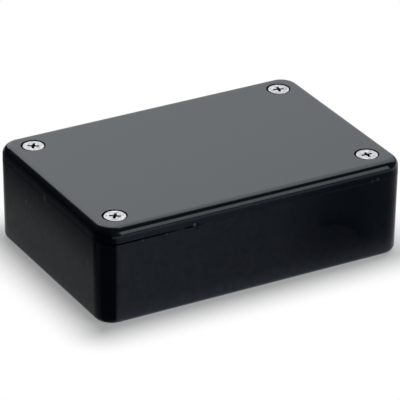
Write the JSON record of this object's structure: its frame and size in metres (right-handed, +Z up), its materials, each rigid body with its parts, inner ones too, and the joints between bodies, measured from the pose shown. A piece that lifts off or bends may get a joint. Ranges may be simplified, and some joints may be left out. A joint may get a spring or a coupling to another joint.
{
  "type": "plastic project box",
  "caption": "Low rectangular moulded enclosure with rounded corners, a flat lid on a lap joint held by countersunk screws, and slots for circuit boards inside.",
  "frame": {"origin": "centre of the underside, on the surface that the box stands on", "axes": "+X along the long side, +Y along the short side, +Z up through the lid"},
  "size_m": [0.085, 0.0576, 0.0258],
  "materials": {
    "case_plastic": "black moulded plastic, fine satin",
    "lid_plastic": "black moulded plastic, fine satin",
    "screw_steel": "bright nickel plate",
    "insert_brass": "turned and knurled"
  },
  "bodies": {
    "base": {"tub": "case_plastic", "insert_front_left": "insert_brass", "insert_front_right": "insert_brass", "insert_back_left": "insert_brass", "insert_back_right": "insert_brass"},
    "cover": {"lid": "lid_plastic"},
    "fastener_front_left": {"screw_front_left": "screw_steel"},
    "fastener_front_right": {"screw_front_right": "screw_steel"},
    "fastener_back_left": {"screw_back_left": "screw_steel"},
    "fastener_back_right": {"screw_back_right": "screw_steel"}
  },
  "joints": [
    {"name": "lid_lift", "type": "slide", "parent": "base", "child": "cover", "axis": [0, 0, 1], "range_m": [0, 0.04]},
    {"name": "screw_front_left_draw", "type": "slide", "parent": "cover", "child": "fastener_front_left", "axis": [0, 0, 1], "range_m": [0, 0.012]},
    {"name": "screw_front_right_draw", "type": "slide", "parent": "cover", "child": "fastener_front_right", "axis": [0, 0, 1], "range_m": [0, 0.012]},
    {"name": "screw_back_left_draw", "type": "slide", "parent": "cover", "child": "fastener_back_left", "axis": [0, 0, 1], "range_m": [0, 0.012]},
    {"name": "screw_back_right_draw", "type": "slide", "parent": "cover", "child": "fastener_back_right", "axis": [0, 0, 1], "range_m": [0, 0.012]}
  ]
}
